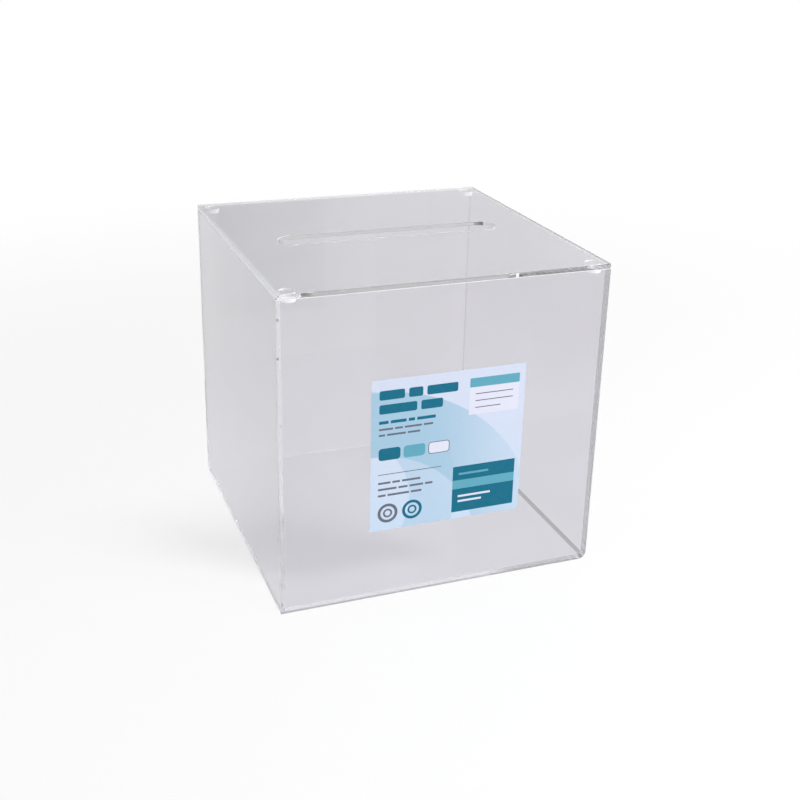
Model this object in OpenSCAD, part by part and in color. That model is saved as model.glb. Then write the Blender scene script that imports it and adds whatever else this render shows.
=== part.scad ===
// Clear acrylic ballot box.
// The body is cemented from four sheets: one sheet bent into the base and the right wall,
// a left wall, and a front and a back panel that cover the edges of the other two.
// A flat lid with a round-ended slot lies on top. Four discs under its corners locate it
// between the walls, and it lifts straight off.
// X runs to the right, Y to the back and Z up. The origin is the centre of the base, on
// the surface that the box stands on.

/* [Box] */
// Outside width, from the left wall to the right wall
box_w = 210; // [170:1:320]
// Outside depth, from the front panel to the back panel
box_d = 210; // [150:1:320]
// Height with the lid on
box_h = 205; // [170:1:320]

/* [Sheets] */
// Thickness of the left wall and of the bent sheet
sheet_t = 3; // [2:0.5:5]
// Thickness of the front and back panels
panel_t = 3; // [2:0.5:5]
// Inside radius of the bend between the base and the right wall
bend_r = 2; // [1:0.5:6]

/* [Lid] */
// Thickness of the lid
lid_t = 3; // [2:0.5:5]
// Radius of the lid's corners, seen from above
lid_corner_r = 1; // [0.5:0.25:4]
// Length of the ballot slot over its round ends
slot_l = 150; // [80:1:160]
// Width of the ballot slot
slot_w = 20; // [6:1:30]

/* [Locating discs] */
// Diameter of each disc
disc_d = 10; // [6:0.5:20]
// Thickness of each disc
disc_t = 3; // [2:0.5:6]
// Clearance between a disc and each of the two walls beside it
disc_gap = 0.5; // [0.3:0.1:2]

/* [Label] */
// Width of the paper label
label_w = 100; // [60:1:120]
// Height of the paper label
label_h = 100; // [60:1:110]
// Thickness of the paper
label_t = 0.15; // [0.1:0.05:0.3]
// Height of the label's centre above the surface the box stands on
label_z = 97; // [70:1:110]
// Distance of the label's centre to the right of the panel's centre
label_x = 1.5; // [-10:0.5:10]
// Radius of the label's corners
label_corner_r = 0.8; // [0.3:0.1:4]

/* [Hidden] */
$fn = 96;
wall_h = box_h - lid_t;
bend_outer_r = bend_r + sheet_t;
inner_half_w = box_w / 2 - sheet_t;
inner_half_d = box_d / 2 - panel_t;
disc_x = inner_half_w - disc_gap - disc_d / 2;
disc_y = inner_half_d - disc_gap - disc_d / 2;
// How far a cutting shape runs past what it cuts
cut_over = 1;

acrylic_tint = [0.84, 0.86, 0.90, 0.35];
lid_tint = [0.78, 0.81, 0.86, 0.40];
disc_tint = [0.92, 0.94, 0.97, 0.60];
paper_tint = [0.80, 0.88, 0.96];

// A rectangle from left and bottom to right and top, its lower right corner rounded
module bend_outline(left, bottom, right, top, r) {
    translate([left, bottom + r]) square([right - left, top - bottom - r]);
    translate([left, bottom]) square([right - r - left, r]);
    translate([right - r, bottom + r]) circle(r = r);
}

// A rectangle about the origin with all four corners rounded
module rounded_rectangle(w, h, r) {
    square([w - 2 * r, h], center = true);
    square([w, h - 2 * r], center = true);
    for (x = [-1, 1], y = [-1, 1])
        translate([x * (w / 2 - r), y * (h / 2 - r)]) circle(r = r);
}

// A slot about the origin, along X, with half circles for ends
module slot_outline(length, width) {
    square([length - width, width], center = true);
    for (side = [-1, 1])
        translate([side * (length - width) / 2, 0]) circle(d = width);
}

// Carries an outline drawn in X and Z along Y, from y_front over the length y_length
module along_depth(y_front, y_length) {
    translate([0, y_front + y_length, 0])
        rotate([90, 0, 0])
            linear_extrude(height = y_length) children();
}

// Base and right wall: one sheet with a heated bend, cut square where it meets the left wall
module base_and_right_wall() {
    color(acrylic_tint)
        along_depth(-inner_half_d, 2 * inner_half_d)
            difference() {
                bend_outline(-inner_half_w, 0, box_w / 2, wall_h, bend_outer_r);
                bend_outline(-inner_half_w - cut_over, sheet_t, inner_half_w, wall_h + cut_over, bend_r);
            }
}

// Left wall: stands on its own edge beside the base, which is cemented to its inner face
module left_wall() {
    color(acrylic_tint)
        translate([-box_w / 2, -inner_half_d, 0])
            cube([sheet_t, 2 * inner_half_d, wall_h]);
}

// Front and back panel alike: the lower right corner follows the outside of the bend
module end_panel(y_front) {
    color(acrylic_tint)
        along_depth(y_front, panel_t)
            bend_outline(-box_w / 2, 0, box_w / 2, wall_h, bend_outer_r);
}

module front_panel() {
    end_panel(-box_d / 2);
}

module back_panel() {
    end_panel(inner_half_d);
}

// Lid: lies on the edges of all four walls, flush with their outer faces
module lid_panel() {
    color(lid_tint)
        translate([0, 0, wall_h])
            linear_extrude(height = lid_t)
                difference() {
                    rounded_rectangle(box_w, box_d, lid_corner_r);
                    slot_outline(slot_l, slot_w);
                }
}

// One locating disc, cemented under the lid in the corner that side_x and side_y name
module lid_disc(side_x, side_y) {
    color(disc_tint)
        translate([side_x * disc_x, side_y * disc_y, wall_h - disc_t])
            cylinder(d = disc_d, h = disc_t);
}

// Paper label on the outside of the front panel
module front_label() {
    color(paper_tint)
        translate([label_x, 0, label_z])
            along_depth(-box_d / 2 - label_t, label_t)
                rounded_rectangle(label_w, label_h, label_corner_r);
}

base_and_right_wall();
left_wall();
front_panel();
back_panel();
lid_panel();
lid_disc(-1, -1);  // lid_disc_front_left
lid_disc(1, -1);  // lid_disc_front_right
lid_disc(-1, 1);  // lid_disc_back_left
lid_disc(1, 1);  // lid_disc_back_right
front_label();
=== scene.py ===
"""Clear acrylic ballot box: the finish of every piece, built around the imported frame.

Each sheet of the box is a slab: an outline carried through the sheet's thickness, with a small
scraped chamfer, called the arris, along both edges. The slotted lid with its discs, the printed
paper label and the studio follow. Lengths in the settings are in metres.
"""

import math

import bpy
import numpy as np
from mathutils import Matrix, Vector


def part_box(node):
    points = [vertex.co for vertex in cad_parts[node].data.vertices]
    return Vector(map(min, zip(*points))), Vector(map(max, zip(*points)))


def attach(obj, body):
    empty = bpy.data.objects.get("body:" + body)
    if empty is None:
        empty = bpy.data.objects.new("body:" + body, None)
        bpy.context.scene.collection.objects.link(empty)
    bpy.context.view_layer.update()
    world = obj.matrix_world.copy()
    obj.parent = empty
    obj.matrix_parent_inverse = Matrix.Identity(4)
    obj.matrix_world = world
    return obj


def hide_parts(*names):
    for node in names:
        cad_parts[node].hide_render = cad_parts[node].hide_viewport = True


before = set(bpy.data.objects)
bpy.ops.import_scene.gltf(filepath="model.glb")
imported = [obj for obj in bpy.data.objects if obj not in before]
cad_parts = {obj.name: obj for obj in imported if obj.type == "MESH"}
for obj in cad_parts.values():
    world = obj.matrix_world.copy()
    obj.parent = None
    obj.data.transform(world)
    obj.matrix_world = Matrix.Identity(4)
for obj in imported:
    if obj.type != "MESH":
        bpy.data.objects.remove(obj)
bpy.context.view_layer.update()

bl_info = {
    "name": "Clear Ballot Box",
    "version": (1, 0, 0),
    "blender": (4, 5, 0),
    "location": "View3D > Sidebar > Ballot Box",
    "description": "Builds a cemented acrylic ballot box with a slotted lid and a paper label",
    "category": "Add Mesh",
}

MM = 0.001
BOX = "box"
LID = "lid"
# Material slots of a sheet: its faces, a polished edge, a cemented face, the inside of the bend
# painted dark as shade, a sawn edge, a routed edge also painted dark as shade along the left wall's
# foot, an edge painted dark as shade, the right wall's cement, cement with many bubbles and a frosted
# edge
FACE, EDGE, SEAM, BEND_SHADE, SAWN, CUT_AND_FOOT_SHADE, EDGE_SHADE, WALL_SEAM, SPOT_SEAM, FROST = range(10)
# Material slots of the label and of its print
PAPER_FRONT, PAPER_BACK = range(2)
TEAL, PALE_TEAL, GREY, WHITE = range(4)
# Points of a disc, a printed ring and the floor's edge
DISC_POINTS, RING_POINTS, FLOOR_POINTS = 64, 64, 96
# Steps of the corners of the label and its print
LABEL_STEPS, PRINT_STEPS = 6, 5
# Light passes through many sheets and turns often inside them
BOUNCES, CLEAR_BOUNCES = 64, 32
SENSOR_WIDTH = 36.0


def colour_setting(name, description, default):
    """A property that holds a colour."""
    return bpy.props.FloatVectorProperty(
        name=name,
        description=description,
        subtype="COLOR",
        size=3,
        min=0.0,
        max=1.0,
        default=default,
    )


class SheetSettings(bpy.types.PropertyGroup):
    """Sizes and colours of the acrylic sheets."""

    front_tint: colour_setting(
        name="Front tint",
        description="Share of light that the front panel lets through",
        default=(0.955, 0.95, 0.965),
    )
    # Partly painted shade: the left wall's tint is darker than the front's to show the box's shadow on
    # the floor through it
    left_tint_and_shade: colour_setting(
        name="Left tint",
        description="Share of light that the left wall lets through",
        default=(0.75, 0.742, 0.765),
    )
    # Partly painted shade: the bent sheet and back panel are darker than the front to give the box the
    # grey of a dimmer backdrop seen through it
    far_tint_and_shade: colour_setting(
        name="Bent sheet and back tint",
        description="Share of light that the bent sheet and the back panel let through",
        default=(0.73, 0.722, 0.76),
    )
    lid_tint: colour_setting(
        name="Lid tint",
        description="Share of light that the lid lets through",
        default=(0.98, 0.976, 1.0),
    )
    disc_tint: colour_setting(
        name="Disc tint",
        description="Share of light that a locating disc lets through",
        default=(1.0, 1.0, 1.0),
    )
    edge_tint: colour_setting(
        name="Edge tint",
        description="Share of light that passes through two polished edges",
        default=(0.97, 0.97, 0.975),
    )
    sawn_tint: colour_setting(
        name="Sawn tint",
        description="Colour of a sawn edge left unpolished",
        default=(0.96, 0.96, 0.97),
    )
    # The routed edge's dark colour is also painted shade along the left wall's foot, where it meets the
    # floor
    cut_and_foot_shade_tint: colour_setting(
        name="Routed tint",
        description="Colour of a routed edge left unpolished",
        default=(0.50, 0.50, 0.51),
    )
    # Painted shade: this dark edge colour stands in for shade on the front panel's foot by the floor, on
    # the lid's right edge and on the slot's right end and front edge
    edge_shade_tint: colour_setting(
        name="Dull tint",
        description="Colour of an edge dulled by handling and dust",
        default=(0.25, 0.25, 0.28),
    )
    frost_tint: colour_setting(
        name="Frosted tint",
        description="Colour of the lid's frosted left edge",
        default=(0.96, 0.975, 1.0),
    )
    seam_tint: colour_setting(
        name="Seam tint",
        description="Share of light that passes through the cement of the other seams",
        default=(0.97, 0.97, 0.98),
    )
    wall_seam_tint: colour_setting(
        name="Right wall seam tint",
        description="Share of light that passes through the cement at both ends of the right wall",
        default=(0.64, 0.64, 0.65),
    )
    # Painted shade: the dark tint inside the bend stands in for the box's shadow along the bend, where
    # the base leaves the floor
    bend_shade_tint: colour_setting(
        name="Bend tint",
        description="Share of light that the heated and creased inside of the bend lets through",
        default=(0.27, 0.27, 0.28),
    )
    refraction: bpy.props.FloatProperty(
        name="Refractive index",
        description="Refractive index of acrylic",
        min=1.0,
        max=2.0,
        default=1.49,
    )
    arris: bpy.props.FloatProperty(
        name="Arris",
        description="Width of the small chamfer scraped along each edge",
        unit="LENGTH",
        min=0.0,
        max=0.001,
        default=0.2 * MM,
    )
    seam_depth: bpy.props.FloatProperty(
        name="Seam depth",
        description="How far solvent cement has let one sheet's edge melt into the next sheet's face",
        unit="LENGTH",
        min=0.00001,
        max=0.0002,
        default=0.03 * MM,
    )
    lid_gap: bpy.props.FloatProperty(
        name="Lid gap",
        description="Air left between the loose lid and the edges it lies on",
        unit="LENGTH",
        min=0.0,
        max=0.0005,
        default=0.08 * MM,
    )
    bend_radius: bpy.props.FloatProperty(
        name="Bend radius",
        description="Inside radius of the bend between the base and the right wall",
        unit="LENGTH",
        min=0.0005,
        max=0.01,
        default=2.0 * MM,
    )
    lid_corner: bpy.props.FloatProperty(
        name="Lid corner radius",
        description="Radius of the lid's corners, seen from above",
        unit="LENGTH",
        min=0.0005,
        max=0.004,
        default=1.0 * MM,
    )
    slot_length: bpy.props.FloatProperty(
        name="Slot length",
        description="Length of the ballot slot over its round ends",
        unit="LENGTH",
        min=0.08,
        max=0.16,
        default=150.0 * MM,
    )
    slot_width: bpy.props.FloatProperty(
        name="Slot width",
        description="Width of the ballot slot",
        unit="LENGTH",
        min=0.006,
        max=0.03,
        default=20.0 * MM,
    )
    cut_radius: bpy.props.FloatProperty(
        name="Cut radius",
        description="Radius that polishing leaves on a sharp corner",
        unit="LENGTH",
        min=0.0001,
        max=0.001,
        default=0.3 * MM,
    )
    arc_steps: bpy.props.IntProperty(
        name="Arc steps",
        description="Steps of a rounded corner",
        min=2,
        max=64,
        default=12,
    )


class LabelSettings(bpy.types.PropertyGroup):
    """Colours and sizes of the paper label."""

    paper: colour_setting(
        name="Paper",
        description="Colour of the bare paper",
        default=(0.60, 0.655, 0.80),
    )
    ground: colour_setting(
        name="Ground",
        description="Pale blue that the paper shades into towards its lower edge",
        default=(0.55, 0.67, 0.83),
    )
    arc: colour_setting(
        name="Arc",
        description="Light blue of the broad arcs",
        default=(0.335, 0.52, 0.67),
    )
    back: colour_setting(
        name="Back",
        description="Colour of the paper's unprinted back",
        default=(0.70, 0.71, 0.75),
    )
    teal: colour_setting(
        name="Teal",
        description="Teal of the blocks and bars",
        default=(0.004, 0.138, 0.225),
    )
    pale_teal: colour_setting(
        name="Pale teal",
        description="Lighter teal of the bands inside the blocks",
        default=(0.11, 0.36, 0.47),
    )
    grey: colour_setting(
        name="Grey",
        description="Grey of the ring, the frames and the rules",
        default=(0.135, 0.145, 0.19),
    )
    white: colour_setting(
        name="White",
        description="White of the blank fields",
        default=(0.69, 0.70, 0.82),
    )
    corner_radius: bpy.props.FloatProperty(
        name="Corner radius",
        description="Radius of the paper's corners",
        unit="LENGTH",
        min=0.0,
        max=0.01,
        default=0.8 * MM,
    )
    ink_depth: bpy.props.FloatProperty(
        name="Ink depth",
        description="Thickness of one layer of print",
        unit="LENGTH",
        min=0.000001,
        max=0.00005,
        default=0.008 * MM,
    )


class StudioSettings(bpy.types.PropertyGroup):
    """Camera, light and floor."""

    camera_place: bpy.props.FloatVectorProperty(
        name="Camera place",
        description="Where the camera stands",
        subtype="TRANSLATION",
        size=3,
        default=(-0.2636, -0.7071, 0.4119),
    )
    camera_azimuth: bpy.props.FloatProperty(
        name="Camera azimuth",
        description="Direction the camera looks from, 0 from the front",
        subtype="ANGLE",
        default=math.radians(-21.11),
    )
    camera_elevation: bpy.props.FloatProperty(
        name="Camera elevation",
        description="Tilt of the camera below the horizon",
        subtype="ANGLE",
        default=math.radians(21.45),
    )
    camera_roll: bpy.props.FloatProperty(
        name="Camera roll",
        description="Turn of the camera about its own axis",
        subtype="ANGLE",
        default=math.radians(1.345),
    )
    camera_lens: bpy.props.FloatProperty(
        name="Lens",
        description="Focal length in millimetres on a 36 mm sensor",
        min=10.0,
        max=200.0,
        default=53.57,
    )
    camera_shift: bpy.props.FloatProperty(
        name="Vertical shift",
        description="Vertical shift of the lens, as a share of the frame",
        default=-0.05,
    )
    sky: bpy.props.FloatProperty(
        name="Sky light",
        description="Strength of the even light from all round",
        min=0.0,
        default=0.6,
    )
    room_level: bpy.props.FloatProperty(
        name="Room level",
        description="Brightness of the unlit room beside the backdrop, as the acrylic shows it",
        min=0.0,
        max=1.0,
        default=0.22,
    )
    backdrop_side: bpy.props.FloatProperty(
        name="Backdrop side",
        description="Direction of the backdrop's left side, to the right of straight back",
        subtype="ANGLE",
        default=math.radians(13.0),
    )
    floor_white: bpy.props.FloatProperty(
        name="Floor white",
        description="Share of the floor near the box that shows plain white whatever the light",
        min=0.0,
        max=1.0,
        default=0.6,
    )
    floor_radius: bpy.props.FloatProperty(
        name="Floor radius",
        description="Radius of the round floor",
        unit="LENGTH",
        min=1.0,
        default=12.0,
    )
    floor_depth: bpy.props.FloatProperty(
        name="Floor thickness",
        description="Thickness of the floor",
        unit="LENGTH",
        min=0.001,
        default=2.0 * MM,
    )
    floor_gap: bpy.props.FloatProperty(
        name="Floor gap",
        description="Air between the box and the floor",
        unit="LENGTH",
        min=0.0,
        max=0.001,
        default=0.1 * MM,
    )
    key_place: bpy.props.FloatVectorProperty(
        name="Key lamp place",
        description="Where the soft key lamp stands",
        subtype="TRANSLATION",
        size=3,
        default=(1.20, -1.25, 1.45),
    )
    key_aim: bpy.props.FloatVectorProperty(
        name="Key lamp aim",
        description="The point that the key lamp is turned to",
        subtype="TRANSLATION",
        size=3,
        default=(0.0, 0.0, 0.1),
    )
    key_size: bpy.props.FloatProperty(
        name="Key lamp size",
        description="Diameter of the key lamp's disc",
        unit="LENGTH",
        min=0.01,
        default=0.6,
    )
    key_power: bpy.props.FloatProperty(
        name="Key lamp power",
        description="Power of the key lamp in watts",
        min=0.0,
        default=31.0,
    )


# Mesh helpers


def rounded_outline(corners, radii, steps):
    """Closed outline, counter-clockwise, with its outward normals: straight runs joined by arcs.

    At each corner the arc's centre lies on the bisector, at radius times the sum of both runs'
    normals over one plus their dot product, inside a convex corner and outside a hollow one. The
    arc's points turn evenly from one run's normal to the next run's.
    """
    corners = np.asarray(corners, float)
    radii = np.broadcast_to(np.asarray(radii, float), (len(corners),))
    run_out = np.roll(corners, -1, axis=0) - corners
    run_out /= np.linalg.norm(run_out, axis=1, keepdims=True)
    run_in = np.roll(run_out, 1, axis=0)
    normal_in = np.stack([run_in[:, 1], -run_in[:, 0]], axis=1)
    normal_out = np.stack([run_out[:, 1], -run_out[:, 0]], axis=1)
    turn = np.arctan2(
        run_in[:, 0] * run_out[:, 1] - run_in[:, 1] * run_out[:, 0],
        (run_in * run_out).sum(axis=1),
    )
    signed = np.sign(turn) * radii
    shared = 1 + (normal_in * normal_out).sum(axis=1)
    centre = corners - (signed / shared)[:, None] * (normal_in + normal_out)
    angle = turn[:, None] * np.linspace(0, 1, steps + 1)[None, :]
    c, s = np.cos(angle), np.sin(angle)
    nx = normal_in[:, :1] * c - normal_in[:, 1:] * s
    ny = normal_in[:, :1] * s + normal_in[:, 1:] * c
    normals = np.stack([nx, ny], axis=2)
    points = centre[:, None, :] + signed[:, None, None] * normals
    return points.reshape(-1, 2), normals.reshape(-1, 2)


def rectangle(left, bottom, right, top):
    """The corners of a rectangle, counter-clockwise from the lower left."""
    return [(left, bottom), (right, bottom), (right, top), (left, top)]


def outline_slots(arcs, runs, steps):
    """Material slot of each step of a rounded_outline: its corners' arcs and the run after each."""
    return np.concatenate([[arc] * steps + [run] for arc, run in zip(arcs, runs)])


def stadium_outline(length, width, steps):
    """Slot outline about the origin, counter-clockwise from its lower right: two half circles.

    Each half circle has 2 * steps + 2 points, so it pairs with two corners of rounded_outline.
    """
    half = np.linspace(-math.pi / 2, math.pi / 2, 2 * steps + 2)
    angle = np.concatenate([half, half + math.pi])
    normals = np.stack([np.cos(angle), np.sin(angle)], axis=1)
    side = np.where(np.arange(len(angle)) < len(half), 1.0, -1.0)
    centre = np.stack([side * (length - width) / 2, np.zeros(len(angle))], axis=1)
    return centre + normals * width / 2, normals


def circle_outline(centre, radius, count):
    """Circle of count points, counter-clockwise, with its normals."""
    angle = np.linspace(0, 2 * math.pi, count, endpoint=False)
    normals = np.stack([np.cos(angle), np.sin(angle)], axis=1)
    return np.asarray(centre, float) + radius * normals, normals


def placed(flat, depth, axis):
    """Points of a flat outline at a depth along axis: 'y' takes (x, z), 'z' takes (x, y)."""
    depth = np.full(len(flat), depth)
    if axis == "y":
        return np.stack([flat[:, 0], depth, flat[:, 1]], axis=1)
    return np.stack([flat[:, 0], flat[:, 1], depth], axis=1)


def new_piece(name, materials, *shapes):
    """A mesh object of one or more shapes: points, quads, material slots and corner normals."""
    starts = np.cumsum([0] + [len(shape[0]) for shape in shapes[:-1]])
    points = np.concatenate([shape[0] for shape in shapes])
    faces = np.concatenate([shape[1] + start for shape, start in zip(shapes, starts)])
    mesh = bpy.data.meshes.new(name)
    mesh.from_pydata(points.tolist(), [], faces.tolist())
    for material in materials:
        mesh.materials.append(material)
    slots = np.concatenate([shape[2] for shape in shapes])
    mesh.polygons.foreach_set("material_index", slots.astype(np.int32))
    mesh.polygons.foreach_set("use_smooth", np.ones(len(faces), bool))
    normals = np.concatenate([shape[3] for shape in shapes])
    mesh.normals_split_custom_set(normals.tolist())
    mesh.validate(clean_customdata=False)
    mesh.update()
    piece = bpy.data.objects.new(name, mesh)
    bpy.context.scene.collection.objects.link(piece)
    return piece


def ring_faces(count, first, second):
    """Quads that join ring first to ring second, each of count points, outward when the rings
    run counter-clockwise and second lies further along the extrusion axis."""
    i = np.arange(count)
    j = (i + 1) % count
    return np.stack([first + i, first + j, second + j, second + i], axis=1)


def slab(
    outline,
    low,
    high,
    axis,
    arris,
    sides=EDGE,
    caps=(FACE, FACE),
    border=None,
    hole=None,
    hole_slots=(CUT_AND_FOOT_SHADE, CUT_AND_FOOT_SHADE),
):
    """The shape of a sheet of material: an outline carried along axis from low to high.

    The outline steps in by the arris at both ends, which leaves a 45 degree chamfer. Each of the
    two caps is a strip of quads that joins the outline's point i to its point i from the end, or
    the outline to the hole. border is an outline, the end, 0 or 1, whose cap it divides into a
    cemented border and the face inside it, and the border's slots. sides has the material slot
    of each step of the outline, chamfers included; hole_slots has those of the hole's walls and
    those of its chamfers. The normals are the outline's own, so a bend shades as a true arc.
    """
    flat, normal = outline
    count = len(flat)
    unit = np.array({"y": (0, 1, 0), "z": (0, 0, 1)}[axis], float)
    root = math.sqrt(0.5)
    rings, quads, normals, slots = [], [], [], []

    def add_ring(points, depth):
        rings.append(placed(points, depth, axis))
        return (len(rings) - 1) * count

    def add_faces(faces, face_normals, slot):
        quads.append(faces)
        normals.append(face_normals)
        slots.append(np.broadcast_to(slot, (len(faces),)))

    def add_wall(points, side, out, first_end, last_end, wall_slots, chamfer_slots):
        """The three strips between two ends: chamfer, straight, chamfer."""
        inward = points - out * arris * side
        step = arris if last_end > first_end else -arris
        starts = [
            add_ring(inward, first_end),
            add_ring(points, first_end + step),
            add_ring(points, last_end - step),
            add_ring(inward, last_end),
        ]
        level = placed(out * side, 0.0, axis)
        tilt = unit if last_end > first_end else -unit
        looks = [root * (level - tilt), level, root * (level + tilt)]
        for k, look in enumerate(looks):
            after = np.roll(look, -1, axis=0)
            corner_normals = np.stack([look, after, after, look], axis=1)
            strip = ring_faces(count, starts[k], starts[k + 1])
            add_faces(strip, corner_normals, wall_slots if k == 1 else chamfer_slots)
        return starts[0], starts[3]

    def add_flat(face, end, slot):
        """Faces of the flat low or high end; end is 0 for low and 1 for high."""
        face = face if end else face[:, ::-1]
        add_faces(face, np.tile((-unit, unit)[end], (len(face), 4, 1)), slot)

    def add_cap(start, end, slot):
        """The cap on the ring that begins at start, with its border if it has one."""
        if border is not None and border[1] == end:
            inner = add_ring(border[0][0], (low, high)[end])
            add_flat(ring_faces(count, start, inner), end, border[2])
            start = inner
        i = np.arange(count // 2 - 1)
        add_flat(np.stack([i, i + 1, count - 2 - i, count - 1 - i], axis=1) + start, end, slot)

    bottom, top = add_wall(flat, normal, 1.0, low, high, sides, sides)
    if hole is None:
        add_cap(bottom, 0, caps[0])
        add_cap(top, 1, caps[1])
    else:
        hole_top, hole_bottom = add_wall(hole[0], hole[1], -1.0, high, low, *hole_slots)
        add_flat(ring_faces(count, top, hole_top), 1, caps[1])
        add_flat(ring_faces(count, bottom, hole_bottom), 0, caps[0])
    faces, loop_normals = np.concatenate(quads), np.concatenate(normals)
    if axis == "y":
        faces, loop_normals = faces[:, ::-1], loop_normals[:, ::-1]
    return np.concatenate(rings), faces, np.concatenate(slots), loop_normals.reshape(-1, 3)


# Material helpers


class Graph:
    """The nodes of a material or of the world, with short ways to add and join them.

    A value of maths and blend is a socket, which is linked, or a number or colour, which is set.
    """

    def __init__(self, tree):
        self.nodes = tree.nodes
        self.links = tree.links

    def give(self, value, entry):
        """Links a socket to an input, or sets the input to a number or colour."""
        if isinstance(value, bpy.types.NodeSocket):
            self.links.new(value, entry)
        else:
            entry.default_value = (*value, 1) if entry.type == "RGBA" else value

    def place(self, space="Object"):
        """The point on the piece, in object coordinates by default."""
        return self.nodes.new("ShaderNodeTexCoord").outputs[space]

    def parts(self, vector):
        """The three parts of a vector."""
        node = self.nodes.new("ShaderNodeSeparateXYZ")
        self.links.new(vector, node.inputs[0])
        return node.outputs

    def maths(self, operation, first, second):
        """The result of one of Blender's Math operations on two values."""
        node = self.nodes.new("ShaderNodeMath")
        node.operation = operation
        self.give(first, node.inputs[0])
        self.give(second, node.inputs[1])
        return node.outputs["Value"]

    def product(self, first, *others):
        """The product of two or more values."""
        for other in others:
            first = self.maths("MULTIPLY", first, other)
        return first

    def of_vectors(self, operation, vector, fixed):
        """A number that one of Blender's Vector Math operations makes of a vector and a fixed one."""
        node = self.nodes.new("ShaderNodeVectorMath")
        node.operation = operation
        self.links.new(vector, node.inputs[0])
        node.inputs[1].default_value = fixed
        return node.outputs["Value"]

    def ramp(self, value, span, out_low=0.0, out_high=1.0):
        """A smooth step, from out_low to out_high, as a value crosses a span from low to high."""
        node = self.nodes.new("ShaderNodeMapRange")
        node.interpolation_type = "SMOOTHSTEP"
        node.inputs["From Min"].default_value = span[0]
        node.inputs["From Max"].default_value = span[1]
        node.inputs["To Min"].default_value = out_low
        node.inputs["To Max"].default_value = out_high
        self.links.new(value, node.inputs["Value"])
        return node.outputs["Result"]

    def noise(self, place, waves, detail):
        """A noise pattern of so many waves to the metre."""
        node = self.nodes.new("ShaderNodeTexNoise")
        node.inputs["Scale"].default_value = waves
        node.inputs["Detail"].default_value = detail
        self.links.new(place, node.inputs["Vector"])
        return node.outputs["Fac"]

    def blend(self, amount, first, second):
        """A mix of two colours by an amount from 0 to 1."""
        node = self.nodes.new("ShaderNodeMix")
        node.data_type = "RGBA"
        self.links.new(amount, node.inputs["Factor"])
        self.give(first, node.inputs["A"])
        self.give(second, node.inputs["B"])
        return node.outputs["Result"]

    def choose(self, amount, first, second):
        """A mix of two shaders by an amount from 0 to 1."""
        node = self.nodes.new("ShaderNodeMixShader")
        self.links.new(amount, node.inputs["Fac"])
        self.links.new(first, node.inputs[1])
        self.links.new(second, node.inputs[2])
        return node.outputs["Shader"]

    def seen(self):
        """The Light Path outputs, and 1 for camera, glossy and transmission rays, else 0."""
        path = self.nodes.new("ShaderNodeLightPath").outputs
        either = self.maths("MAXIMUM", path["Is Camera Ray"], path["Is Glossy Ray"])
        return path, self.maths("MAXIMUM", either, path["Is Transmission Ray"])

    def show(self, surface, output="Material Output"):
        """Links a shader to the output."""
        self.links.new(surface, self.nodes[output].inputs["Surface"])


def node_material(name):
    """A new material, its graph and its Principled shader."""
    material = bpy.data.materials.new(name)
    material.use_nodes = True
    graph = Graph(material.node_tree)
    return material, graph, graph.nodes["Principled BSDF"]


# Acrylic


def mottled(graph, place, tint):
    """A tint with faint mottling: a little lighter and darker by a broad noise."""
    waves, lighter, darker = 14.0, 1.015, 0.985
    node = graph.nodes.new("ShaderNodeValToRGB")
    first, last = node.color_ramp.elements
    first.position, last.position = 0.3, 0.7
    first.color = (*(c * lighter for c in tint), 1)
    last.color = (*(c * darker for c in tint), 1)
    graph.links.new(graph.noise(place, waves, 2.0), node.inputs["Fac"])
    return node.outputs["Color"]


def bubbled(graph, place, colour, bubbles):
    """A colour with small dark spots in crowds, as bubbles leave in cement.

    A spot is where the distance to a scattered cell centre is below its radius, as a share of
    the cell, and the crowds are where a broad noise is high.
    """
    cells_to_the_metre, spot_edge, crowd_waves, crowd_edge = 210.0, (0.14, 0.22), 28.0, (0.46, 0.56)
    cells = graph.nodes.new("ShaderNodeTexVoronoi")
    cells.inputs["Scale"].default_value = cells_to_the_metre
    graph.links.new(place, cells.inputs["Vector"])
    spot = graph.ramp(cells.outputs["Distance"], spot_edge, 1.0, 0.0)
    crowd = graph.ramp(graph.noise(place, crowd_waves, 1.0), crowd_edge)
    return graph.blend(graph.product(spot, crowd, bubbles), colour, (0.12, 0.12, 0.13))


def acrylic(name, tint, roughness, bubbles=0.0, clearness=1.0):
    """Clear acrylic: a mottled tint, fine smears in the gloss, and lamps shine through.

    The shader colours light by the square root of its base colour at each surface, so a sheet of
    two faces passes the tint as it is given. Clearness is the share of light that goes through;
    the rest is scattered in the tint. Shadow and diffuse rays go straight through.
    """
    smear_waves, smear_edge, smear_depth = 60.0, (0.4, 0.8), 0.02
    material, graph, shader = node_material(name)
    place = graph.place()
    colour = mottled(graph, place, tint)
    if bubbles:
        colour = bubbled(graph, place, colour, bubbles)
    graph.links.new(colour, shader.inputs["Base Color"])
    smear = graph.noise(place, smear_waves, 4.0)
    gloss = graph.ramp(smear, smear_edge, roughness, roughness + smear_depth)
    graph.links.new(gloss, shader.inputs["Roughness"])
    shader.inputs["Transmission Weight"].default_value = clearness
    shader.inputs["IOR"].default_value = bpy.context.scene.ballot_sheets.refraction
    clear = graph.nodes.new("ShaderNodeBsdfTransparent")
    clear.inputs["Color"].default_value = (0.985, 0.985, 0.99, 1)
    path = graph.nodes.new("ShaderNodeLightPath").outputs
    surface = shader.outputs["BSDF"]
    for ray in ("Is Shadow Ray", "Is Diffuse Ray"):
        surface = graph.choose(path[ray], surface, clear.outputs["BSDF"])
    graph.show(surface)
    return material


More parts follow.
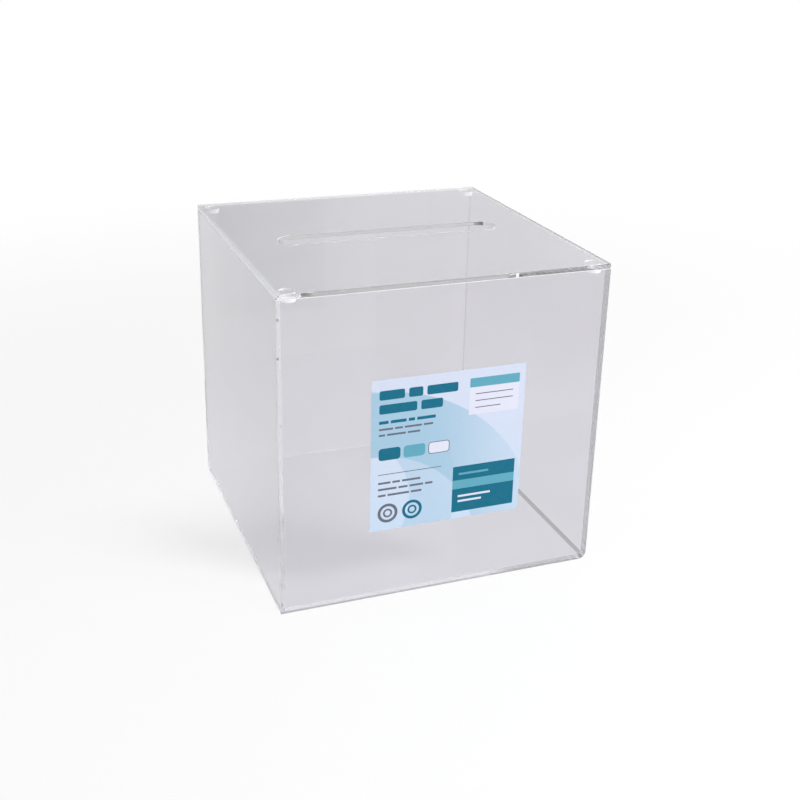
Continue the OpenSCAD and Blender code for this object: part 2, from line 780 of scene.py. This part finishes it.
def sheet_materials(kind):
    """The finishes of a kind of sheet, in the order of the material slots. Each is made once.

    A finish has its tint and roughness, and then its bubbles and clearness where it has them.
    """
    s = bpy.context.scene.ballot_sheets
    faces = {
        "front": s.front_tint,
        # The left wall's darker tint is partly painted shade
        "left": s.left_tint_and_shade,
        # The bent sheet's and back panel's darker tint is partly painted shade
        "far": s.far_tint_and_shade,
        "lid": s.lid_tint,
        "disc": s.disc_tint,
    }
    finishes = {
        "acrylic_face_" + kind: (faces[kind], 0.0),
        "acrylic_edge": (s.edge_tint, 0.02),
        "acrylic_seam": (s.seam_tint, 0.16),
        # The inside of the bend is painted dark as shade
        "acrylic_bend_shade": (s.bend_shade_tint, 0.02),
        "acrylic_sawn": (s.sawn_tint, 0.25, 0.0, 0.2),
        # A routed edge, also painted shade along the left wall's foot
        "acrylic_cut_and_foot_shade": (s.cut_and_foot_shade_tint, 0.12, 0.0, 0.6),
        # A dark edge colour that is painted shade
        "acrylic_edge_shade": (s.edge_shade_tint, 0.15, 0.0, 0.4),
        "acrylic_wall_seam": (s.wall_seam_tint, 0.2, 0.6),
        "acrylic_spot_seam": (s.seam_tint, 0.0, 1.0),
        "acrylic_frost": (s.frost_tint, 0.4, 0.0, 0.0),
    }
    return [bpy.data.materials.get(name) or acrylic(name, *finish) for name, finish in finishes.items()]


# Paper and ink


def gloss_of_paper(graph, place, shader, smooth, rough):
    """Varies the roughness of paper or ink a little, from smooth to rough."""
    waves, edge = 120.0, (0.3, 0.7)
    gloss = graph.ramp(graph.noise(place, waves, 3.0), edge, smooth, rough)
    graph.links.new(gloss, shader.inputs["Roughness"])


def label_paper(s, centre):
    """Printed paper: white shading to pale blue downwards, with broad arcs, and a faint grain.

    The arcs lie where the distance from a point beyond the label's lower left corner is within a
    band, and they fade to the right.
    """
    grain_waves, grain_edge, grain_depth, grain_colour = 900.0, (0.3, 0.7), 0.035, (0.2, 0.25, 0.3)
    shade_from, shade_to = 30.0 * MM, -50.0 * MM
    fade_from, fade_to, faded = 55.0 * MM, -20.0 * MM, 0.25
    soft_edge = 0.6 * MM
    # Each arc: its centre to the side of the label's centre and above it, its radii and strength
    arcs = [
        (-50.0, -70.0, 70.0, 112.0, 1.0),
        (-70.0, -30.0, 45.0, 76.0, 0.5),
    ]
    material, graph, shader = node_material("label_paper")
    place = graph.place()
    parts = graph.parts(place)
    x, y, z = centre
    shade = graph.ramp(parts["Z"], (z + shade_from, z + shade_to))
    colour = graph.blend(shade, s.paper, s.ground)
    for side, rise, inner, outer, strength in arcs:
        middle = (x + side * MM, y, z + rise * MM)
        distance = graph.of_vectors("DISTANCE", place, middle)
        band = graph.product(
            graph.ramp(distance, (inner * MM, inner * MM + soft_edge)),
            graph.ramp(distance, (outer * MM, outer * MM + soft_edge), 1, 0),
        )
        fade = graph.ramp(parts["X"], (x + fade_from, x + fade_to), faded * strength, strength)
        colour = graph.blend(graph.product(band, fade), colour, s.arc)
    grain = graph.ramp(graph.noise(place, grain_waves, 3.0), grain_edge, 0.0, grain_depth)
    graph.links.new(graph.blend(grain, colour, grain_colour), shader.inputs["Base Color"])
    gloss_of_paper(graph, place, shader, 0.34, 0.46)
    return material


def plain_paper(name, tint):
    """Plain paper with a faint grain of fibres."""
    waves, edge, depth, fibres = 700.0, (0.3, 0.7), 0.06, (0.35, 0.36, 0.4)
    material, graph, shader = node_material(name)
    grain = graph.ramp(graph.noise(graph.place(), waves, 4.0), edge, 0.0, depth)
    graph.links.new(graph.blend(grain, tint, fibres), shader.inputs["Base Color"])
    shader.inputs["Roughness"].default_value = 0.6
    return material


def ink(name, tint):
    """Printed ink, in places a little paler where it took unevenly."""
    waves, edge, most, paler = 260.0, (0.35, 0.75), 0.25, 0.04
    material, graph, shader = node_material(name)
    place = graph.place()
    pale = tuple(c * (1 - paler) + 0.5 * paler for c in tint)
    uneven = graph.ramp(graph.noise(place, waves, 3.0), edge, 0.0, most)
    graph.links.new(graph.blend(uneven, tint, pale), shader.inputs["Base Color"])
    gloss_of_paper(graph, place, shader, 0.32, 0.44)
    shader.inputs["Specular IOR Level"].default_value = 0.15
    return material


def printed_shape(s, front, outline, layer, colour, hole=None):
    """One printed shape: a third of the ink's depth thick, and layer times that off the paper."""
    step, arris, both = s.ink_depth / 3, s.ink_depth / 20, (colour, colour)
    high = front - layer * step
    return slab(outline, high - step, high, "y", arris, colour, both, hole=hole, hole_slots=both)


def label_print(s, centre, front):
    """The shapes of the print, each a thin slab on the paper's front, in millimetres.

    A block holds an ink, the layer, left, bottom, right, top and corner radius, measured from
    the label's centre.
    """
    blocks = [
        (WHITE, 0, 13.0, 20.0, 46.0, 44.0, 0.5),
        (PALE_TEAL, 1, 13.0, 38.0, 46.0, 44.0, 0.5),
        (GREY, 1, 17.0, 33.2, 42.0, 33.8, 0.1),
        (GREY, 1, 17.0, 28.7, 42.0, 29.3, 0.1),
        (GREY, 1, 17.0, 24.2, 34.0, 24.8, 0.1),
        (TEAL, 0, 4.0, -45.5, 46.0, -14.0, 0.5),
        (PALE_TEAL, 1, 4.0, -29.5, 46.0, -23.5, 0.1),
        (PALE_TEAL, 1, 8.0, -20.0, 28.0, -18.6, 0.2),
        (WHITE, 1, 8.0, -35.4, 30.0, -34.0, 0.2),
        (WHITE, 1, 8.0, -38.9, 24.0, -37.5, 0.2),
        (TEAL, 0, -45.0, -2.5, -31.0, 5.5, 2.0),
        (PALE_TEAL, 0, -29.0, -2.5, -15.0, 5.5, 2.0),
        (GREY, 0, -13.0, -2.5, 1.0, 5.5, 2.0),
        (WHITE, 1, -12.5, -2.0, 0.5, 5.0, 1.6),
        (GREY, 0, -45.0, -12.2, -4.0, -11.7, 0.1),
    ]
    # Lines of bars: ink, bottom, height, gap and the widths
    lines_left, line_layer, rounding = -45.0, 2, 0.2
    lines = [
        (TEAL, 37.0, 6.0, 2.6, (16.0, 9.0, 20.0)),
        (TEAL, 28.0, 6.0, 2.6, (24.0, 14.0)),
        (TEAL, 21.5, 2.0, 1.4, (6.0, 10.0, 4.0, 12.0)),
        (GREY, 17.4, 1.3, 1.2, (9.0, 5.0, 11.0, 6.0)),
        (GREY, 13.6, 1.3, 1.2, (4.0, 12.0, 8.0)),
        (GREY, -18.4, 1.4, 1.2, (8.0, 5.0, 12.0)),
        (GREY, -22.6, 1.4, 1.2, (12.0, 6.0, 9.0, 5.0)),
        (GREY, -26.8, 1.4, 1.2, (5.0, 14.0, 7.0)),
    ]
    for colour, bottom, height, gap, widths in lines:
        left = lines_left
        for width in widths:
            radius = min(height, width) * rounding
            blocks.append((colour, line_layer, left, bottom, left + width, bottom + height, radius))
            left += width + gap
    # Two targets in the lower left corner: their middles, and each ring's radii
    ring_layer, ring_height, ring_radii = 1, -38.5, ((6.5, 4.6), (3.0, 1.8))
    targets = [(-38.5, GREY), (-22.5, TEAL)]
    middle = centre[[0, 2]]
    shapes = []
    for colour, layer, left, bottom, right, top, radius in blocks:
        corners = np.array(rectangle(left, bottom, right, top)) * MM + middle
        outline = rounded_outline(corners, radius * MM, PRINT_STEPS)
        shapes.append(printed_shape(s, front, outline, layer, colour))
    for outer, inner in ring_radii:
        for side, colour in targets:
            place = middle + np.array((side, ring_height)) * MM
            outline = circle_outline(place, outer * MM, RING_POINTS)
            hole = circle_outline(place, inner * MM, RING_POINTS)
            shapes.append(printed_shape(s, front, outline, ring_layer, colour, hole))
    return shapes


# Studio


def studio_world(s):
    """Even light for the object; a white backdrop to the eye and, with a dim room above it, in glass.

    By direction: white up to a few degrees above the horizon, then a pale grey gap below a white
    softbox overhead, whose right part is dimmer, and to the back and left, beside the backdrop,
    the unlit part of the room. A height is the sine of the elevation, 0 at the horizon and 1
    overhead. A side is the direction's share towards the left of the backdrop.
    """
    # The gap: heights of its foot and top, sides from its weaker right part, that part's share
    # and the gap's brightness
    gap_from, gap_to, gap_side = (0.08, 0.20), (0.36, 0.50), (-0.45, -0.10)
    gap_share, gap_level = 0.45, 0.70
    # The softbox's dimmer part: where it begins to the right and in height, and its brightness
    box_right, box_from, box_level = (0.25, 0.40), (0.50, 0.56), 0.78
    # The room: its foot, side and top of its near part and of its higher, weaker far part
    room_from, near_side, near_to = (0.03, 0.10), (-0.25, 0.30), (0.36, 0.46)
    far_side, far_to, far_share = (0.62, 0.78), (0.70, 0.85), 0.7
    # Both come in where the direction turns to the back
    back = (0.0, 0.3)
    white = (1, 1, 1, 1)

    world = bpy.data.worlds.new("studio")
    world.use_nodes = True
    graph = Graph(world.node_tree)
    light = graph.nodes["Background"]
    light.inputs["Color"].default_value = white
    light.inputs["Strength"].default_value = s.sky
    direction = graph.place("Generated")
    x, y, z = graph.parts(direction)
    to_the_left = (-math.cos(s.backdrop_side), math.sin(s.backdrop_side), 0)
    side = graph.of_vectors("DOT_PRODUCT", direction, to_the_left)
    behind = graph.ramp(y, back)
    gap = graph.product(
        graph.ramp(z, gap_from),
        graph.ramp(z, gap_to, 1, 0),
        behind,
        graph.ramp(side, gap_side, gap_share, 1.0),
    )
    near = graph.product(graph.ramp(side, near_side), graph.ramp(z, near_to, 1, 0))
    far = graph.product(graph.ramp(side, far_side), graph.ramp(z, far_to, far_share, 0))
    room = graph.product(graph.maths("MAXIMUM", near, far), graph.ramp(z, room_from), behind)
    dimmer = graph.product(graph.ramp(x, box_right), graph.ramp(z, box_from))
    whole = (0, 1)
    level = graph.product(
        graph.ramp(gap, whole, 1.0, gap_level),
        graph.ramp(dimmer, whole, 1.0, box_level),
        graph.ramp(room, whole, 1.0, s.room_level),
    )
    path, seen = graph.seen()
    backdrop = graph.nodes.new("ShaderNodeBackground")
    backdrop.inputs["Color"].default_value = white
    graph.links.new(graph.maths("MAXIMUM", level, path["Is Camera Ray"]), backdrop.inputs["Strength"])
    sky = graph.choose(seen, light.outputs["Background"], backdrop.outputs["Background"])
    graph.show(sky, "World Output")
    return world


def floor_material(s):
    """White floor: to the eye partly its own white, wholly so far from the box, and partly lit.

    In the acrylic it dims a little with the distance from the box.
    """
    # Distances from the box, in metres, over which the floor turns white and dims in the acrylic
    white_span, dim_span, dim_level = (0.3, 1.0), (0.12, 0.45), 0.92
    material, graph, shader = node_material("floor")
    graph.nodes.remove(shader)
    diffuse = graph.nodes.new("ShaderNodeBsdfDiffuse")
    diffuse.inputs["Color"].default_value = (0.95, 0.95, 0.95, 1)
    glow = graph.nodes.new("ShaderNodeEmission")
    glow.inputs["Color"].default_value = (1, 1, 1, 1)
    distance = graph.of_vectors("DISTANCE", graph.place(), (0, 0, 0))
    share = graph.ramp(distance, white_span, s.floor_white, 1.0)
    path, seen = graph.seen()
    dimmed = graph.ramp(distance, dim_span, 1.0, dim_level)
    graph.links.new(graph.maths("MAXIMUM", dimmed, path["Is Camera Ray"]), glow.inputs["Strength"])
    surface = graph.choose(graph.product(seen, share), diffuse.outputs["BSDF"], glow.outputs["Emission"])
    graph.show(surface)
    return material


# Pieces


def sheet_thickness():
    """Thickness of the bent sheet, which is the left wall's."""
    low, high = box_of("left_wall")
    return high[0] - low[0]


def box_of(node):
    """Lowest and highest corners of a CAD node as arrays."""
    low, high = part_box(node)
    return np.array(low), np.array(high)


def finish_piece(piece, body, slot_name, *nodes):
    """The piece rides on its body and stands for its CAD nodes; slot_name is not used."""
    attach(piece, body)
    if nodes:
        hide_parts(*nodes)


class BALLOT_OT_bent_sheet(bpy.types.Operator):
    """Makes the base and the right wall as one bent sheet"""

    bl_idname = "ballot.bent_sheet"
    bl_label = "Base and Right Wall"

    def execute(self, context):
        s = context.scene.ballot_sheets
        low, high = box_of("base_and_right_wall")
        thick = sheet_thickness()
        left, right = low[0] - s.seam_depth, high[0]
        bottom, top = low[2], high[2] - s.lid_gap
        inner, floor = right - thick, bottom + thick
        corners = [
            (left, bottom),
            (right, bottom),
            (right, top),
            (inner, top),
            (inner, floor),
            (left, floor),
        ]
        sharp, joined = s.cut_radius, s.seam_depth
        radii = [joined, s.bend_radius + thick, sharp, sharp, s.bend_radius, joined]
        outline = rounded_outline(corners, radii, s.arc_steps)
        front, back = low[1] - s.seam_depth, high[1] + s.seam_depth
        # The inside of the bend is painted dark as shade
        arcs = [FACE, FACE, SAWN, SAWN, BEND_SHADE, FACE]
        runs = [FACE, FACE, SAWN, FACE, FACE, SEAM]
        slots = outline_slots(arcs, runs, s.arc_steps)
        # Both ends of the profile run along the base, round the bend and up the wall
        ends = np.repeat([SEAM, WALL_SEAM], [s.arc_steps + 1, 2 * s.arc_steps + 1])
        sheet = slab(outline, front, back, "y", s.seam_depth / 2, sides=slots, caps=(ends, ends))
        piece = new_piece("base_and_right_wall_sheet", sheet_materials("far"), sheet)
        finish_piece(piece, BOX, "body_acrylic", "base_and_right_wall")
        return {"FINISHED"}


class BALLOT_OT_left_wall(bpy.types.Operator):
    """Makes the left wall"""

    bl_idname = "ballot.left_wall"
    bl_label = "Left Wall"

    def execute(self, context):
        s = context.scene.ballot_sheets
        low, high = box_of("left_wall")
        top = high[2] - s.lid_gap
        outline = rounded_outline(rectangle(low[0], low[2], high[0], top), s.cut_radius, s.arc_steps)
        front, back = low[1] - s.seam_depth, high[1] + s.seam_depth
        # The left wall's foot takes the routed finish as painted shade where it meets the floor
        slots = outline_slots([EDGE, EDGE, SAWN, SAWN], [CUT_AND_FOOT_SHADE, FACE, SAWN, FACE], s.arc_steps)
        sheet = slab(outline, front, back, "y", s.seam_depth / 2, sides=slots, caps=(SEAM, SEAM))
        piece = new_piece("left_wall_sheet", sheet_materials("left"), sheet)
        finish_piece(piece, BOX, "body_acrylic", "left_wall")
        return {"FINISHED"}


class BALLOT_OT_end_panels(bpy.types.Operator):
    """Makes the front and the back panel, whose lower right corners follow the bend"""

    bl_idname = "ballot.end_panels"
    bl_label = "Front and Back Panels"

    def execute(self, context):
        s = context.scene.ballot_sheets
        thick = sheet_thickness()
        bend, cut, joined = s.bend_radius, s.cut_radius, s.seam_depth
        # The cement ends this far below the panel's top, clear of the arris
        clear = 1.5 * s.arris
        # Each panel's kind, the finish of its lower edge, and which end of its slab faces inwards
        # The front panel's foot takes the dark edge colour as painted shade where it meets the floor
        panels = {"front_panel": ("front", EDGE_SHADE, 1), "back_panel": ("far", SAWN, 0)}
        arcs, runs = [SPOT_SEAM, SEAM, SEAM, SPOT_SEAM], [SEAM, SEAM, SEAM, SPOT_SEAM]
        cement = outline_slots(arcs, runs, s.arc_steps)
        for node, (kind, foot, inside) in panels.items():
            low, high = box_of(node)
            left, right = low[0], high[0]
            bottom, top = low[2], high[2] - s.lid_gap
            corners = rectangle(left, bottom, right, top)
            outline = rounded_outline(corners, [cut, bend + thick, cut, cut], s.arc_steps)
            corners = rectangle(left + thick, bottom + thick, right - thick, top - clear)
            seam = rounded_outline(corners, [joined, bend, joined, joined], s.arc_steps)
            sides = outline_slots([EDGE, EDGE, SAWN, SAWN], [foot, EDGE, SAWN, EDGE], s.arc_steps)
            border = (seam, inside, cement)
            sheet = slab(outline, low[1], high[1], "y", s.arris, sides=sides, border=border)
            piece = new_piece(node + "_sheet", sheet_materials(kind), sheet)
            finish_piece(piece, BOX, "body_acrylic", node)
        return {"FINISHED"}


class BALLOT_OT_lid(bpy.types.Operator):
    """Makes the slotted lid and the four locating discs under it"""

    bl_idname = "ballot.lid"
    bl_label = "Lid and Discs"

    def execute(self, context):
        s = context.scene.ballot_sheets
        low, high = box_of("lid_panel")
        corners = rectangle(low[0], low[1], high[0], high[1])
        # The slot's half circles start at its lower right, as the outline must to pair with them
        outline = rounded_outline(corners[1:] + corners[:1], s.lid_corner, s.arc_steps)
        slot = stadium_outline(s.slot_length, s.slot_width, s.arc_steps)
        # The lid's right edge takes the dark edge colour as painted shade
        sides = outline_slots([EDGE] * 4, [EDGE_SHADE, EDGE, FROST, EDGE], s.arc_steps)
        # The slot's right end is painted dark as shade but for its frosted middle, three fifths of the
        # half circle
        end_steps = 2 * s.arc_steps + 1
        walls = outline_slots([EDGE_SHADE, CUT_AND_FOOT_SHADE], [CUT_AND_FOOT_SHADE, CUT_AND_FOOT_SHADE], end_steps)
        walls[end_steps // 5 : end_steps * 4 // 5] = SAWN
        # The chamfers are frosted round the slot's ends and painted dark as shade along its front
        chamfers = outline_slots([SAWN, SAWN], [CUT_AND_FOOT_SHADE, EDGE_SHADE], end_steps)
        slots = (walls, chamfers)
        sheet = slab(outline, low[2], high[2], "z", s.arris, sides, hole=slot, hole_slots=slots)
        lid = new_piece("lid_sheet", sheet_materials("lid"), sheet)
        finish_piece(lid, LID, "lid_acrylic", "lid_panel")
        for corner in ("front_left", "front_right", "back_left", "back_right"):
            node = "lid_disc_" + corner
            low, high = box_of(node)
            centre = (low[:2] + high[:2]) / 2
            outline = circle_outline(centre, (high[0] - low[0]) / 2, DISC_POINTS)
            rod = slab(outline, low[2], high[2] + s.seam_depth, "z", s.seam_depth / 2, sides=SAWN)
            disc = new_piece(node + "_piece", sheet_materials("disc"), rod)
            finish_piece(disc, LID, "lid_acrylic", node)
        return {"FINISHED"}


class BALLOT_OT_label(bpy.types.Operator):
    """Makes the paper label on the front panel"""

    bl_idname = "ballot.label"
    bl_label = "Label"

    def execute(self, context):
        s = context.scene.ballot_label
        low, high = box_of("front_label")
        centre = (low + high) / 2
        corners = rectangle(low[0], low[2], high[0], high[2])
        outline = rounded_outline(corners, s.corner_radius, LABEL_STEPS)
        # The slab's low end is the front of the label
        front, back = low[1] + 2 * s.ink_depth, high[1] - s.ink_depth
        caps = (PAPER_FRONT, PAPER_BACK)
        sheet = slab(outline, front, back, "y", s.ink_depth, sides=PAPER_BACK, caps=caps)
        papers = [label_paper(s, centre), plain_paper("label_back", s.back)]
        paper = new_piece("label_sheet", papers, sheet)
        finish_piece(paper, BOX, "label_paper", "front_label")
        colours = {"teal": s.teal, "pale_teal": s.pale_teal, "grey": s.grey, "white": s.white}
        inks = [ink("ink_" + name, tint) for name, tint in colours.items()]
        shapes = label_print(s, centre, front)
        finish_piece(new_piece("label_print", inks, *shapes), BOX, "label_paper")
        return {"FINISHED"}


class BALLOT_OT_stage(bpy.types.Operator):
    """Makes the camera, the light and the floor"""

    bl_idname = "ballot.stage"
    bl_label = "Stage"

    def execute(self, context):
        scene = context.scene
        s = scene.ballot_studio
        camera = bpy.data.objects.new("camera", bpy.data.cameras.new("camera"))
        scene.collection.objects.link(camera)
        azimuth, elevation = s.camera_azimuth, s.camera_elevation
        back = Vector(
            (
                math.sin(azimuth) * math.cos(elevation),
                -math.cos(azimuth) * math.cos(elevation),
                math.sin(elevation),
            )
        )
        turn = (-back).to_track_quat("-Z", "Y").to_matrix().to_4x4()
        roll = Matrix.Rotation(s.camera_roll, 4, "Z")
        camera.matrix_world = Matrix.Translation(Vector(s.camera_place)) @ turn @ roll
        camera.data.lens = s.camera_lens
        camera.data.sensor_width = SENSOR_WIDTH
        camera.data.shift_y = s.camera_shift
        scene.camera = camera

        scene.world = studio_world(s)

        lamp_data = bpy.data.lights.new("key", "AREA")
        lamp_data.shape = "DISK"
        lamp_data.size = s.key_size
        lamp_data.energy = s.key_power
        lamp = bpy.data.objects.new("key", lamp_data)
        lamp.location = s.key_place
        lamp.rotation_mode = "QUATERNION"
        lamp.rotation_quaternion = (Vector(s.key_aim) - lamp.location).to_track_quat("-Z", "Y")
        scene.collection.objects.link(lamp)

        outline = circle_outline((0, 0), s.floor_radius, FLOOR_POINTS)
        top = -s.floor_gap
        sheet = slab(outline, top - s.floor_depth, top, "z", s.floor_gap, sides=FACE)
        floor = new_piece("floor", [floor_material(s)], sheet)
        return {"FINISHED"}


class VIEW3D_PT_ballot_box(bpy.types.Panel):
    """Lists the operators in the sidebar"""

    bl_label = "Ballot Box"
    bl_space_type = "VIEW_3D"
    bl_region_type = "UI"
    bl_category = "Ballot Box"

    def draw(self, context):
        for step in STEPS:
            self.layout.operator(step.bl_idname)


STEPS = (
    BALLOT_OT_bent_sheet,
    BALLOT_OT_left_wall,
    BALLOT_OT_end_panels,
    BALLOT_OT_lid,
    BALLOT_OT_label,
    BALLOT_OT_stage,
)
CLASSES = (SheetSettings, LabelSettings, StudioSettings, *STEPS, VIEW3D_PT_ballot_box)


def register():
    """Registers the classes and the settings."""
    for item in CLASSES:
        bpy.utils.register_class(item)
    bpy.types.Scene.ballot_sheets = bpy.props.PointerProperty(type=SheetSettings)
    bpy.types.Scene.ballot_label = bpy.props.PointerProperty(type=LabelSettings)
    bpy.types.Scene.ballot_studio = bpy.props.PointerProperty(type=StudioSettings)


def unregister():
    """Removes the settings and the classes."""
    del bpy.types.Scene.ballot_studio
    del bpy.types.Scene.ballot_label
    del bpy.types.Scene.ballot_sheets
    for item in reversed(CLASSES):
        bpy.utils.unregister_class(item)


def main():
    register()
    scene = bpy.context.scene
    scene.view_settings.view_transform = "Standard"
    scene.cycles.max_bounces = BOUNCES
    scene.cycles.transmission_bounces = BOUNCES
    scene.cycles.glossy_bounces = BOUNCES
    scene.cycles.transparent_max_bounces = CLEAR_BOUNCES
    for step in STEPS:
        group, name = step.bl_idname.split(".")
        getattr(getattr(bpy.ops, group), name)()


if __name__ == "__main__":
    main()
